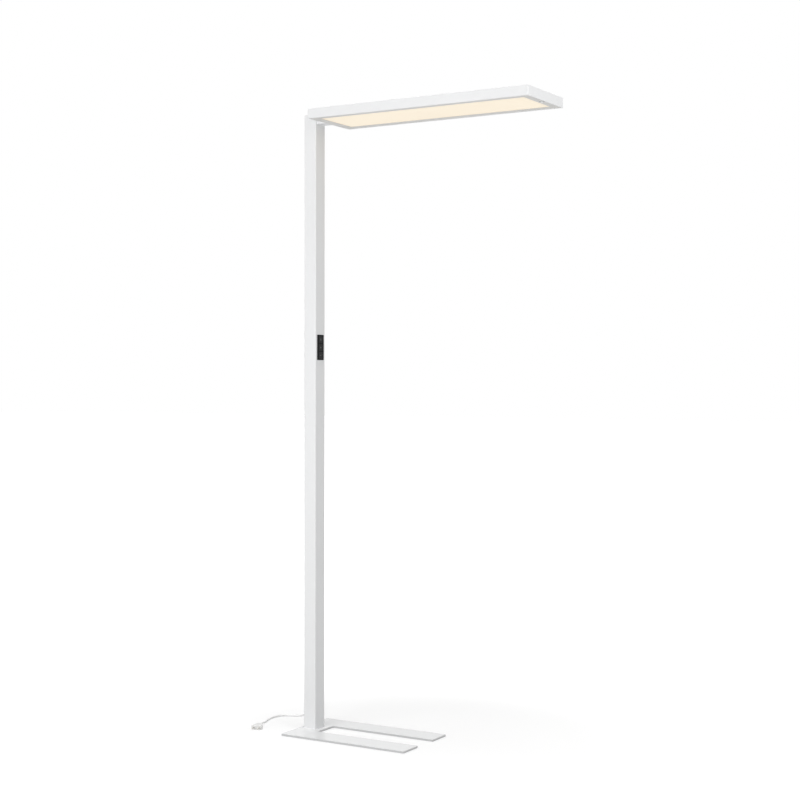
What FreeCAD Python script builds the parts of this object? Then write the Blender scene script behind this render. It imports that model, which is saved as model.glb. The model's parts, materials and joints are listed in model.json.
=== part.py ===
"""Office floor lamp: a flat rectangular LED head on a slim post, standing on a U-shaped steel foot.

Millimetres. +Z is up, +X runs from the post along the head, +Y is across.
The origin is on the floor, at the centre of the lamp's own footprint box (the mains cord left out).
"""
import FreeCAD, Part
import math
import os

V = FreeCAD.Vector

# ---------------------------------------------------------------- driving dimensions
overall_height = 1950.0
overall_length = 846.0  # from the back edge of the foot to the free end of the head

base_length = 446.0
base_width = 260.0
base_thickness = 6.0
pad_thickness = 1.4
pad_radius = 10.0
slot_start = 80.0  # from the back edge of the foot to the closed end of its slot
slot_width = 90.0

post_setback = 15.0  # from the back edge of the foot to the back of the post
post_depth = 44.0
post_width = 52.0
post_wall = 2.0

neck_length = 31.0
neck_width = 44.0
neck_height = 26.0

head_width = 237.0
head_height = 30.0
head_wall = 2.0
head_rim = 3.4
lit_length = 698.0
lit_width = 174.0

control_height = 80.0
control_width = 35.0
control_centre_z = 1216.0
key_size = 22.0
key_pitch = 25.2
key_travel = 0.8

cord_diameter = 5.6
cord_exit_from_back = 11.0  # the mains cord leaves the far side of the post, near its back edge
cord_exit_z = 30.0
relief_length = 22.0

# ---------------------------------------------------------------- places worked out from them
base_back_x = -overall_length / 2
base_front_x = base_back_x + base_length
base_top_z = pad_thickness + base_thickness
slot_start_x = base_back_x + slot_start

post_back_x = base_back_x + post_setback
post_front_x = post_back_x + post_depth
post_centre_x = (post_back_x + post_front_x) / 2
post_half_width = post_width / 2
cap_thickness = 2.0

head_back_x = post_front_x + neck_length
head_front_x = overall_length / 2
head_length = head_front_x - head_back_x
head_centre_x = (head_back_x + head_front_x) / 2
head_bottom_z = overall_height - head_height
neck_axis_z = head_bottom_z + neck_height / 2

# the stack inside the head, from the underside up
rim_thickness = 1.2
trim_thickness = 1.0
diffuser_thickness = 2.0
guide_thickness = 4.0
reflector_thickness = 0.5
spreader_thickness = 1.0
cover_thickness = 1.5
trim_z = head_bottom_z + rim_thickness
diffuser_z = trim_z + trim_thickness
guide_z = diffuser_z + diffuser_thickness
reflector_z = guide_z + guide_thickness
spreader_z = reflector_z + reflector_thickness
spreader_top_z = spreader_z + spreader_thickness
diffuser_length = lit_length + 8.0
diffuser_width = lit_width + 8.0
guide_length = lit_length + 4.0
guide_width = lit_width + 4.0
sensor_x = head_front_x - 13.5


# ---------------------------------------------------------------- small shape helpers
def block(x_range, y_range, z_range):
    """A box between two corners."""
    size = [high - low for low, high in (x_range, y_range, z_range)]
    return Part.makeBox(size[0], size[1], size[2], V(x_range[0], y_range[0], z_range[0]))


def around(centre, size):
    """The low and high end of a stretch about its centre."""
    return (centre - size / 2, centre + size / 2)


def rod(start, axis, radius, length):
    """A round bar."""
    return Part.makeCylinder(radius, length, start, axis)


def rounded_outline(corners, z):
    """A closed outline at one height; each corner is (x, y, radius), with a tangent arc for its radius."""
    edges = []
    count = len(corners)
    starts = []
    ends = []
    for i, (x, y, radius) in enumerate(corners):
        here = V(x, y, z)
        before = V(corners[i - 1][0], corners[i - 1][1], z) - here
        after = V(corners[(i + 1) % count][0], corners[(i + 1) % count][1], z) - here
        before.normalize()
        after.normalize()
        half = before.getAngle(after) / 2
        reach = radius / math.tan(half)
        middle = before + after
        middle.normalize()
        inner = here + middle * (radius / math.sin(half) - radius)
        starts.append(here + before * reach)
        ends.append(here + after * reach)
        edges.append(Part.Arc(starts[-1], inner, ends[-1]).toShape())
    for i in range(count):
        edges.append(Part.LineSegment(ends[i], starts[(i + 1) % count]).toShape())
    return Part.Wire(Part.__sortEdges__(edges))


def slab(x_range, y_range, z_range, radius):
    """A plate with rounded corners."""
    corners = [
        (x_range[0], y_range[0], radius),
        (x_range[1], y_range[0], radius),
        (x_range[1], y_range[1], radius),
        (x_range[0], y_range[1], radius),
    ]
    face = Part.Face(rounded_outline(corners, z_range[0]))
    return face.extrude(V(0, 0, z_range[1] - z_range[0]))


def upright_slab(x_range, y_range, z_range, radius):
    """A plate that stands across X, with the four edges along X rounded."""
    shape = block(x_range, y_range, z_range)
    edges = [e for e in shape.Edges if abs(e.tangentAt(e.FirstParameter).x) > 0.99]
    return shape.makeFillet(radius, edges)


def flat_edges(shape, z):
    """The edges of a shape that lie at one height."""
    level = [e for e in shape.Edges if e.BoundBox.ZMax - e.BoundBox.ZMin < 1e-6]
    return [e for e in level if abs(e.BoundBox.ZMin - z) < 1e-6]


def hexagon_bar(start, axis, across_flats, length):
    """A six-sided bar, for a screw's key socket."""
    radius = across_flats / math.sqrt(3)
    side = axis.cross(V(0, 0, 1))
    if side.Length < 0.5:
        side = V(1, 0, 0)
    side.normalize()
    other = axis.cross(side)
    turn = [math.radians(60 * k) for k in range(6)]
    points = [start + side * (radius * math.cos(a)) + other * (radius * math.sin(a)) for a in turn]
    return Part.Face(Part.makePolygon(points + points[:1])).extrude(axis * length)


def countersunk_screw(head_face, axis, radius, head_radius, length, socket):
    """A flat-headed screw with a key socket; the axis points from the head to the tip."""
    head_depth = head_radius - radius
    head = Part.makeCone(head_radius, radius, head_depth, head_face, axis)
    shank = rod(head_face, axis, radius, length)
    return head.fuse(shank).cut(hexagon_bar(head_face, axis, socket, head_depth * 0.8)).removeSplitter()


def write(node, shape):
    """Write one sub-part and print what it is."""
    shape.exportStep("parts/" + node + ".step")
    print("%-20s %2d solid(s) %12.1f mm3 valid %s" % (node, len(shape.Solids), shape.Volume, shape.isValid()))


# ---------------------------------------------------------------- foot
screw_half_x = 12.0
screw_half_y = 15.0
base_screw_radius = 3.0
base_screw_head = 6.0
base_screw_length = 16.0
foot_block_height = 14.0
fit_gap = 0.15
grub_radius = 2.5
grub_z = base_top_z + foot_block_height / 2
grub_half_y = 5.5
grub_length = 10.0


def base_screw_places():
    """Where the four screws come up through the foot into the post."""
    return [
        V(post_centre_x + i * screw_half_x, j * screw_half_y, pad_thickness)
        for i in (-1, 1)
        for j in (-1, 1)
    ]


def base_plate():
    """The U-shaped steel plate, its top edges softened, drilled and countersunk from below."""
    outer, inner, tip = 5.0, 8.0, 3.0
    half, slot = base_width / 2, slot_width / 2
    corners = [
        (base_back_x, -half, outer),
        (base_front_x, -half, outer),
        (base_front_x, -slot, tip),
        (slot_start_x, -slot, inner),
        (slot_start_x, slot, inner),
        (base_front_x, slot, tip),
        (base_front_x, half, outer),
        (base_back_x, half, outer),
    ]
    plate = Part.Face(rounded_outline(corners, pad_thickness)).extrude(V(0, 0, base_thickness))
    plate = plate.makeFillet(0.8, flat_edges(plate, base_top_z))
    clearance = 0.2
    for place in base_screw_places():
        sink = Part.makeCone(
            base_screw_head + clearance,
            base_screw_radius + clearance,
            base_screw_head - base_screw_radius,
            place,
            V(0, 0, 1),
        )
        plate = plate.cut(sink).cut(rod(place, V(0, 0, 1), base_screw_radius + clearance, base_thickness))
    return plate


def base_pads():
    """Eight round non-slip pads under the foot."""
    inset = 24.0
    y = (base_width + slot_width) / 4
    first, last = base_back_x + inset, base_front_x - inset
    places = [(first + k * (last - first) / 3, side * y) for k in range(4) for side in (-1, 1)]
    return Part.makeCompound([rod(V(x, y, 0), V(0, 0, 1), pad_radius, pad_thickness) for x, y in places])


def foot_block():
    """The solid block inside the bottom of the post that the foot is screwed to."""
    gap = post_wall + fit_gap
    shape = slab(
        (post_back_x + gap, post_front_x - gap),
        (-post_half_width + gap, post_half_width - gap),
        (base_top_z, base_top_z + foot_block_height),
        1.0,
    )
    for place in base_screw_places():
        shape = shape.cut(rod(place, V(0, 0, 1), base_screw_radius + 0.05, base_screw_length + 2))
    for side in (-1, 1):
        start = V(post_back_x, side * grub_half_y, grub_z)
        shape = shape.cut(rod(start, V(1, 0, 0), grub_radius + 0.05, grub_length + 1))
    return shape


def base_screws():
    """Four countersunk screws from under the foot."""
    return Part.makeCompound(
        [
            countersunk_screw(p, V(0, 0, 1), base_screw_radius, base_screw_head, base_screw_length, 4.0)
            for p in base_screw_places()
        ]
    )


def grub_screws():
    """Two headless screws through the back wall of the post into its foot block."""
    screws = []
    for side in (-1, 1):
        start = V(post_back_x + 0.2, side * grub_half_y, grub_z)
        body = rod(start, V(1, 0, 0), grub_radius, grub_length - 0.2)
        screws.append(body.cut(hexagon_bar(start, V(1, 0, 0), 2.5, 3.0)))
    return Part.makeCompound(screws)


# ---------------------------------------------------------------- post
neck_bolt_radius = 3.0
neck_bolt_half_y = 14.0
cable_hole_radius = 6.0
cord_exit = V(post_back_x + cord_exit_from_back, post_half_width, cord_exit_z)
relief_neck_radius = 5.0
bezel_lap = 2.0  # how far the control bezel covers the edge of its window


def post_profile():
    """The hollow aluminium upright with its openings."""
    z_range = (base_top_z, overall_height - cap_thickness)
    outside = slab((post_back_x, post_front_x), (-post_half_width, post_half_width), z_range, 2.5)
    inside = slab(
        (post_back_x + post_wall, post_front_x - post_wall),
        (-post_half_width + post_wall, post_half_width - post_wall),
        z_range,
        1.0,
    )
    shape = outside.cut(inside)
    window = upright_slab(
        (post_front_x - 5, post_front_x + 5),
        around(0, control_width - 2 * bezel_lap),
        around(control_centre_z, control_height - 2 * bezel_lap),
        1.5,
    )
    shape = shape.cut(window)
    gland_hole = rod(cord_exit - V(0, 5, 0), V(0, 1, 0), relief_neck_radius + 0.1, 10)
    shape = shape.cut(gland_hole)
    through_wall = V(post_front_x - 5, 0, neck_axis_z)
    shape = shape.cut(rod(through_wall, V(1, 0, 0), cable_hole_radius, 10))
    for side in (-1, 1):
        start = V(post_front_x - 5, side * neck_bolt_half_y, neck_axis_z)
        shape = shape.cut(rod(start, V(1, 0, 0), neck_bolt_radius + 0.2, 10))
        start = V(post_back_x - 5, side * grub_half_y, grub_z)
        shape = shape.cut(rod(start, V(1, 0, 0), grub_radius + 0.2, 10))
    return shape


def post_top_cap():
    """The cap that closes the top of the post, with a skirt that pushes inside."""
    top = overall_height
    under = top - cap_thickness
    plate = slab((post_back_x, post_front_x), around(0, post_width), (under, top), 2.5)
    plate = plate.makeFillet(0.5, flat_edges(plate, top))
    gap = post_wall + fit_gap
    skirt_depth = 8.0
    skirt_wall = 1.5
    skirt_z = (under - skirt_depth, under)
    outside = slab((post_back_x + gap, post_front_x - gap), around(0, post_width - 2 * gap), skirt_z, 1.0)
    inset = gap + skirt_wall
    inside = block((post_back_x + inset, post_front_x - inset), around(0, post_width - 2 * inset), skirt_z)
    bolt_room = block(
        (post_front_x - 12, post_front_x), around(0, post_width), (skirt_z[0], skirt_z[0] + 5.0)
    )
    return plate.fuse(outside.cut(inside).cut(bolt_room)).removeSplitter()


# ---------------------------------------------------------------- neck between post and head
nut_plate_thickness = 6.0
end_plate_thickness = 3.0
bolt_head_radius = 5.0
bolt_head_height = 5.0


def neck_bracket():
    """The hollow block that holds the head clear of the post, drilled for two bolts and the leads."""
    shape = upright_slab(
        (post_front_x, head_back_x), around(0, neck_width), (head_bottom_z, head_bottom_z + neck_height), 1.5
    )
    shape = shape.cut(rod(V(post_front_x, 0, neck_axis_z), V(1, 0, 0), cable_hole_radius, neck_length))
    for side in (-1, 1):
        start = V(post_front_x, side * neck_bolt_half_y, neck_axis_z)
        shape = shape.cut(rod(start, V(1, 0, 0), neck_bolt_radius + 0.2, neck_length))
    return shape


def neck_nut_plate():
    """The tapped plate inside the post that the neck bolts pull against."""
    wall_x = post_front_x - post_wall
    width, height = 42.0, 18.0
    shape = block((wall_x - nut_plate_thickness, wall_x), around(0, width), around(neck_axis_z, height))
    start = V(wall_x - nut_plate_thickness, 0, neck_axis_z)
    shape = shape.cut(rod(start, V(1, 0, 0), cable_hole_radius, nut_plate_thickness))
    for side in (-1, 1):
        start = V(wall_x - nut_plate_thickness, side * neck_bolt_half_y, neck_axis_z)
        shape = shape.cut(rod(start, V(1, 0, 0), neck_bolt_radius + 0.05, nut_plate_thickness))
    return shape


def head_end_plate():
    """The stiffening plate inside the end of the head."""
    inside_x = head_back_x + head_wall
    width, height = 60.0, 15.0
    shape = block((inside_x, inside_x + end_plate_thickness), around(0, width), around(neck_axis_z, height))
    shape = shape.cut(rod(V(inside_x, 0, neck_axis_z), V(1, 0, 0), cable_hole_radius, end_plate_thickness))
    for side in (-1, 1):
        start = V(inside_x, side * neck_bolt_half_y, neck_axis_z)
        shape = shape.cut(rod(start, V(1, 0, 0), neck_bolt_radius + 0.2, end_plate_thickness))
    return shape


def neck_bolts():
    """Two socket-headed bolts from inside the head, through the neck, into the plate in the post."""
    head_x = head_back_x + head_wall + end_plate_thickness
    tip_x = post_front_x - post_wall - nut_plate_thickness
    bolts = []
    for side in (-1, 1):
        start = V(head_x + bolt_head_height, side * neck_bolt_half_y, neck_axis_z)
        toward_post = V(-1, 0, 0)
        bolt = rod(start, toward_post, neck_bolt_radius, start.x - tip_x)
        bolt = bolt.fuse(rod(start, toward_post, bolt_head_radius, bolt_head_height))
        bolts.append(bolt.cut(hexagon_bar(start, toward_post, 5.0, 3.0)).removeSplitter())
    return Part.makeCompound(bolts)


# ---------------------------------------------------------------- head
ledge_width = 6.0
ledge_thickness = 1.5
cover_z = overall_height - cover_thickness
ledge_z = cover_z - ledge_thickness
cover_screw_radius = 1.5
cover_screw_head = 2.8


def head_ring(inset, z_range, radius):
    """A plate as large as the head, drawn in by the same inset all round."""
    return slab(
        (head_back_x + inset, head_front_x - inset),
        around(0, head_width - 2 * inset),
        z_range,
        radius,
    )


def cover_screw_places():
    """Six screws along the two long sides of the cover."""
    y = head_width / 2 - head_wall - ledge_width / 2
    return [
        V(head_centre_x + k * (head_length / 2 - 30), side * y, overall_height)
        for k in (-1, 0, 1)
        for side in (-1, 1)
    ]


def head_frame():
    """The four walls of the head, with a rim under the trim and a ledge under the cover."""
    shape = head_ring(0, (head_bottom_z, overall_height), 2.5)
    shape = shape.makeFillet(0.6, flat_edges(shape, head_bottom_z) + flat_edges(shape, overall_height))
    shape = shape.cut(head_ring(head_rim, (head_bottom_z - 1, trim_z), 1.5))
    shape = shape.cut(head_ring(head_wall, (trim_z, ledge_z), 1.0))
    shape = shape.cut(head_ring(head_wall + ledge_width, (ledge_z, cover_z), 1.0))
    shape = shape.cut(head_ring(head_wall, (cover_z, overall_height + 1), 1.0))
    wall = V(head_back_x - 1, 0, neck_axis_z)
    shape = shape.cut(rod(wall, V(1, 0, 0), cable_hole_radius, head_wall + 2))
    for side in (-1, 1):
        start = wall + V(0, side * neck_bolt_half_y, 0)
        shape = shape.cut(rod(start, V(1, 0, 0), neck_bolt_radius + 0.2, head_wall + 2))
    for place in cover_screw_places():
        shape = shape.cut(rod(place - V(0, 0, 6), V(0, 0, 1), cover_screw_radius + 0.05, 6))
    return shape


def head_top_cover():
    """The flat lid of the head, flush inside its walls."""
    shape = head_ring(head_wall + 0.3, (cover_z, overall_height), 1.0)
    for place in cover_screw_places():
        sink = Part.makeCone(
            cover_screw_head + 0.1, cover_screw_radius + 0.1, 1.3, place, V(0, 0, -1)
        )
        hole = rod(place, V(0, 0, -1), cover_screw_radius + 0.1, cover_thickness)
        shape = shape.cut(sink).cut(hole)
    return shape


def cover_screws():
    """Six small countersunk screws, flush with the lid."""
    return Part.makeCompound(
        [
            countersunk_screw(p, V(0, 0, -1), cover_screw_radius, cover_screw_head, 5.0, 2.0)
            for p in cover_screw_places()
        ]
    )


def diffuser_frame():
    """The recessed trim round the lit panel, with a low kerb that locates the diffuser."""
    shape = head_ring(head_wall + 0.3, (trim_z, diffuser_z), 1.0)
    window = slab(
        around(head_centre_x, lit_length), around(0, lit_width), (trim_z - 1, diffuser_z + 1), 2.0
    )
    play, kerb_wall = 0.3, 2.0
    inner = (diffuser_length + 2 * play, diffuser_width + 2 * play)
    outer = (inner[0] + 2 * kerb_wall, inner[1] + 2 * kerb_wall)
    kerb_outside = slab(around(head_centre_x, outer[0]), around(0, outer[1]), (diffuser_z, guide_z), 1.5)
    kerb_inside = slab(around(head_centre_x, inner[0]), around(0, inner[1]), (diffuser_z, guide_z), 1.0)
    shape = shape.cut(window).fuse(kerb_outside.cut(kerb_inside)).removeSplitter()
    sensor_hole = rod(V(sensor_x, 0, trim_z - 1), V(0, 0, 1), sensor_barrel_radius + 0.2, trim_thickness + 2)
    return shape.cut(sensor_hole)


def diffuser_panel():
    """The opal sheet that the light comes through."""
    return slab(
        around(head_centre_x, diffuser_length), around(0, diffuser_width), (diffuser_z, guide_z), 1.0
    )


def light_guide():
    """The clear plate that spreads the light of the two LED strips."""
    return block(around(head_centre_x, guide_length), around(0, guide_width), (guide_z, reflector_z))


def reflector_sheet():
    """The white sheet behind the light guide."""
    return block(around(head_centre_x, guide_length), around(0, guide_width), (reflector_z, spreader_z))


led_gap = 0.2
led_depth = 0.9
led_board = 1.0
led_count = 58
flange_gap = 0.1
flange_wall = 1.3


def led_strip(side):
    """One LED board along a long edge of the light guide, with its row of chips."""
    edge = guide_width / 2 + led_gap
    board_y = edge + led_depth
    z_range = (guide_z + 0.3, reflector_z + 0.3)
    solids = block(around(head_centre_x, guide_length), (board_y, board_y + led_board), z_range)
    pitch = guide_length / led_count
    for k in range(led_count):
        x = head_centre_x + (k - (led_count - 1) / 2) * pitch
        chip = block(around(x, 3.0), (edge, board_y), around(guide_z + guide_thickness / 2, 2.8))
        solids = solids.fuse(chip)
    if side < 0:
        solids = solids.mirror(V(0, 0, 0), V(0, 1, 0))
    return solids


def heat_spreader():
    """The folded aluminium tray that backs the panel and carries the LED boards away from their heat."""
    inner = guide_width / 2 + led_gap + led_depth + led_board + flange_gap
    outer = inner + flange_wall
    length = guide_length + 4
    plate = block(around(head_centre_x, length), (-outer, outer), (guide_z + 0.2, spreader_top_z))
    hollow = block(around(head_centre_x, length + 2), (-inner, inner), (guide_z, spreader_z))
    shape = plate.cut(hollow)
    for place in driver_screw_places():
        shape = shape.cut(rod(place - V(0, 0, 8), V(0, 0, 1), driver_screw_radius + 0.05, 8))
    return shape


driver_x = (-250.0, 60.0)
driver_y = (34.0, 74.0)
driver_height = 14.0
driver_tab = 12.0
driver_tab_thickness = 1.2
driver_screw_radius = 1.5


def driver_screw_places():
    """The two screws through the tabs at the driver's ends."""
    y = sum(driver_y) / 2
    z = spreader_top_z + driver_tab_thickness
    return [V(driver_x[0] - driver_tab / 2, y, z), V(driver_x[1] + driver_tab / 2, y, z)]


def led_driver():
    """The LED driver: a slim case with a fixing tab and a terminal step at each end."""
    case = block(driver_x, driver_y, (spreader_top_z, spreader_top_z + driver_height))
    lengthwise = [e for e in case.Edges if abs(e.tangentAt(e.FirstParameter).x) > 0.99]
    case = case.makeFillet(1.5, [e for e in lengthwise if e.BoundBox.ZMin > spreader_top_z + 1])
    step = 22.0
    for low, high in ((driver_x[0], driver_x[0] + step), (driver_x[1] - step, driver_x[1])):
        lowered = block((low, high), driver_y, (spreader_top_z + 9.0, spreader_top_z + driver_height + 1))
        case = case.cut(lowered)
    for place in driver_screw_places():
        tab_z = (spreader_top_z, spreader_top_z + driver_tab_thickness)
        tab = block(around(place.x, driver_tab), around(place.y, 20), tab_z)
        case = case.fuse(tab).cut(rod(place - V(0, 0, 3), V(0, 0, 1), driver_screw_radius + 0.1, 6))
    return case.removeSplitter()


def driver_screws():
    """Two pan-headed screws that hold the driver down."""
    screws = []
    for place in driver_screw_places():
        head = rod(place, V(0, 0, 1), 2.8, 1.8)
        length = driver_tab_thickness + spreader_thickness
        screws.append(head.fuse(rod(place - V(0, 0, length), V(0, 0, 1), driver_screw_radius, length)))
    return Part.makeCompound([s.removeSplitter() for s in screws])


def panel_clips():
    """Eight folded spring clips that press the light panel down on its trim."""
    wall_y = head_width / 2 - head_wall
    reach_y = guide_width / 2 + 0.5
    riser_y = wall_y - 4.0
    sheet = 0.8
    clip_width = 16.0
    clips = []
    for x in (head_centre_x + offset for offset in (-270, -90, 90, 270)):
        for side in (-1, 1):
            along = around(x, clip_width)
            foot = block(along, (reach_y, riser_y), (spreader_top_z, spreader_top_z + sheet))
            riser = block(along, (riser_y - sheet, riser_y), (spreader_top_z, ledge_z))
            top = block(along, (riser_y - sheet, wall_y - 0.3), (ledge_z - sheet, ledge_z))
            clip = foot.fuse(riser).fuse(top).removeSplitter()
            clips.append(clip if side > 0 else clip.mirror(V(0, 0, 0), V(0, 1, 0)))
    return Part.makeCompound(clips)


# ---------------------------------------------------------------- presence and light sensor
sensor_barrel_radius = 6.3
sensor_flange_radius = 8.0
sensor_flange = 0.8
lens_radius = 5.5
sensor_board_top = trim_z + 6.2


def sensor_body():
    """The dark housing of the sensor: a flange under the trim, a barrel through it and its board."""
    barrel_top = trim_z + 5.0
    flange = rod(V(sensor_x, 0, trim_z - sensor_flange), V(0, 0, 1), sensor_flange_radius, sensor_flange)
    barrel = rod(V(sensor_x, 0, trim_z - 0.1), V(0, 0, 1), sensor_barrel_radius, barrel_top - trim_z + 0.1)
    board = block(around(sensor_x, 12), around(0, 16), (barrel_top, sensor_board_top))
    shape = flange.fuse(barrel).fuse(board).removeSplitter()
    return shape.cut(rod(V(sensor_x, 0, trim_z - 1), V(0, 0, 1), lens_radius + 0.1, 3.0))


def sensor_lens():
    """The domed lens in the middle of the sensor."""
    rim_z = trim_z - sensor_flange
    stem = rod(V(sensor_x, 0, rim_z), V(0, 0, 1), lens_radius, 2.8)
    ball_radius = 10.0
    sag = ball_radius - math.sqrt(ball_radius**2 - lens_radius**2)
    ball = Part.makeSphere(ball_radius, V(sensor_x, 0, rim_z - sag + ball_radius))
    below = rod(V(sensor_x, 0, rim_z - sag), V(0, 0, 1), lens_radius, sag)
    return stem.fuse(ball.common(below)).removeSplitter()


# ---------------------------------------------------------------- control panel on the post
bezel_front = 1.5  # how far the bezel stands proud of the post
key_front = 1.9
key_gap = 0.3
board_x = post_front_x - 11.0
board_thickness = 1.6
switch_size = 6.0
switch_height = 4.0
plunger_radius = 1.6
plunger_depth = 1.2  # how far a plunger reaches into its switch at rest


def key_centres():
    """The heights of the three keys, lowest first."""
    return [control_centre_z + k * key_pitch for k in (-1, 0, 1)]


def control_bezel():
    """The black frame of the control panel: a front with three square windows, and a box behind it."""
    front = upright_slab(
        (post_front_x, post_front_x + bezel_front),
        around(0, control_width),
        around(control_centre_z, control_height),
        2.0,
    )
    gap = bezel_lap + 0.2
    back_x = board_x + board_thickness
    width, height = control_width - 2 * gap, control_height - 2 * gap
    skirt = upright_slab((back_x, post_front_x), around(0, width), around(control_centre_z, height), 1.3)
    side_wall, end_wall, front_wall = 1.5, 0.5, 1.2
    inside = block(
        (back_x - 1, post_front_x - front_wall),
        around(0, width - 2 * side_wall),
        around(control_centre_z, height - 2 * end_wall),
    )
    shape = front.fuse(skirt.cut(inside)).removeSplitter()
    window = key_size + 2 * key_gap
    for z in key_centres():
        shape = shape.cut(block(around(post_front_x, 10), around(0, window), around(z, window)))
    for side in (-1, 1):
        for z in boss_heights():
            place = V(back_x, side * boss_y, z)
            boss = rod(place, V(1, 0, 0), boss_radius, post_front_x - 1.0 - back_x)
            shape = shape.fuse(boss).cut(rod(place, V(1, 0, 0), board_screw_radius + 0.05, 5.0))
    return shape.removeSplitter()


boss_y = 13.1
boss_radius = 1.5
board_screw_radius = 0.8


def boss_heights():
    """The screw bosses stand level with the two bars between the keys."""
    return [control_centre_z - key_pitch / 2, control_centre_z + key_pitch / 2]


def key(z):
    """One push key: a softly domed cap, a rim that stops it at the bezel, and the plunger into its switch."""
    half = key_size / 2
    front_x = post_front_x + key_front
    cap = upright_slab((post_front_x - 2.0, front_x), (-half, half), (z - half, z + half), 1.2)
    cap = cap.makeFillet(0.5, [e for e in cap.Edges if e.BoundBox.XMin > front_x - 1e-6])
    rim_x = post_front_x - 1.2 - 0.1
    rim = block((rim_x - 1.2, rim_x), around(0, key_size + 1.0), around(z, key_size + 1.6))
    switch_top = board_x + board_thickness + switch_height
    tip_x = switch_top - plunger_depth
    plunger = rod(V(tip_x, 0, z), V(1, 0, 0), plunger_radius, rim_x - tip_x)
    return cap.fuse(rim).fuse(plunger).removeSplitter()


def control_board():
    """The circuit board behind the keys."""
    shape = block(
        (board_x, board_x + board_thickness),
        around(0, control_width - 2 * bezel_lap - 0.6),
        around(control_centre_z, control_height - 2 * bezel_lap - 0.8),
    )
    for side in (-1, 1):
        for z in boss_heights():
            hole = rod(V(board_x, side * boss_y, z), V(1, 0, 0), board_screw_radius + 0.2, board_thickness)
            shape = shape.cut(hole)
    return shape


def key_switches():
    """Three small push switches on the board; each key's plunger moves in the hole of its switch."""
    face_x = board_x + board_thickness
    bore_x = face_x + switch_height - plunger_depth - key_travel - 1.0
    switches = []
    for z in key_centres():
        body = block((face_x, face_x + switch_height), around(0, switch_size), around(z, switch_size))
        bore = rod(V(bore_x, 0, z), V(1, 0, 0), plunger_radius + 0.3, switch_height)
        switches.append(body.cut(bore))
    return Part.makeCompound(switches)


def control_screws():
    """Four small screws that hold the board to the bezel."""
    screws = []
    for side in (-1, 1):
        for z in boss_heights():
            place = V(board_x, side * boss_y, z)
            head = rod(place, V(-1, 0, 0), 1.5, 1.2)
            shank = rod(place, V(1, 0, 0), board_screw_radius, board_thickness + 4.0)
            screws.append(head.fuse(shank).removeSplitter())
    return Part.makeCompound(screws)


# ---------------------------------------------------------------- tubes along a route
def route_wire(points, label):
    """Straight runs joined by tangent arcs, each arc as large as its two runs allow."""
    edges = []
    start = points[0]
    radii = []
    for before, here, after in zip(points, points[1:], points[2:]):
        back = before - here
        ahead = after - here
        shorter = min(back.Length, ahead.Length)
        half_turn = (math.pi - back.getAngle(ahead)) / 2
        radius = 0.45 * shorter / math.tan(half_turn)
        back.normalize()
        ahead.normalize()
        reach = 0.45 * shorter
        middle = back + ahead
        middle.normalize()
        first = here + back * reach
        last = here + ahead * reach
        inner = here + middle * (radius / math.cos(half_turn) - radius)
        edges.append(Part.LineSegment(start, first).toShape())
        edges.append(Part.Arc(first, inner, last).toShape())
        radii.append(radius)
        start = last
    edges.append(Part.LineSegment(start, points[-1]).toShape())
    if radii:
        print("%s bend radii, mm: %s" % (label, ", ".join("%.0f" % r for r in radii)))
    return Part.Wire(edges)


def tube(wire, start, direction, radius, label):
    """A round tube along a path; its volume is compared with section times length."""
    circle = Part.Wire([Part.makeCircle(radius, start, direction)])
    shape = wire.makePipeShell([circle], True, False)
    expected = math.pi * radius**2 * wire.Length
    share = shape.Volume / expected
    print("%s length %.1f mm, volume / (section x length) %.4f" % (label, wire.Length, share))
    return shape


def routed_tube(points, radius, label):
    """A round tube along a list of points."""
    return tube(route_wire(points, label), points[0], points[1] - points[0], radius, label)


# ---------------------------------------------------------------- mains inlet and inner leads
relief_flange = 2.0
relief_start_radius = 5.2
relief_end_radius = 3.7
collar_radius = 6.2
collar_length = 3.0


def strain_relief():
    """The moulded strain relief: a collar inside the wall, a flange outside it and a ribbed, tapered tail."""
    outward = V(0, 1, 0)
    collar = rod(cord_exit - V(0, post_wall + collar_length + 0.1, 0), outward, collar_radius, collar_length)
    neck = rod(cord_exit - V(0, post_wall + 0.2, 0), outward, relief_neck_radius, post_wall + 0.4)
    flange = rod(cord_exit, outward, 7.0, relief_flange)
    tail_start = cord_exit + V(0, relief_flange, 0)
    flange = flange.makeFillet(0.7, [e for e in flange.Edges if e.BoundBox.YMin > tail_start.y - 1e-6])
    tail = Part.makeCone(relief_start_radius, relief_end_radius, relief_length, tail_start, outward)
    for k in range(4):
        y = 4.0 + 4.4 * k
        radius = relief_start_radius + (relief_end_radius - relief_start_radius) * y / relief_length
        groove = rod(tail_start + V(0, y, 0), outward, 8.0, 1.4)
        groove = groove.cut(rod(tail_start + V(0, y, 0), outward, radius - 0.7, 1.4))
        tail = tail.cut(groove)
    return collar.fuse(neck).fuse(flange).fuse(tail).removeSplitter()


terminal_x = around(post_centre_x + 4.0, 22.0)
terminal_y = around(-6.0, 24.0)
terminal_z = (60.0, 76.0)


def terminal_block():
    """The terminal block in the bottom of the post, on its bracket."""
    body = block(terminal_x, terminal_y, terminal_z)
    bracket = block(
        (terminal_x[1], post_front_x - post_wall - 0.1), terminal_y, (terminal_z[0] + 4, terminal_z[1] - 4)
    )
    shape = body.fuse(bracket).removeSplitter()
    for k in (-1, 0, 1):
        place = V(terminal_x[0], sum(terminal_y) / 2 + k * 7.0, sum(terminal_z) / 2)
        shape = shape.cut(rod(place, V(1, 0, 0), 2.2, 5.0))
    return shape


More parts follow.
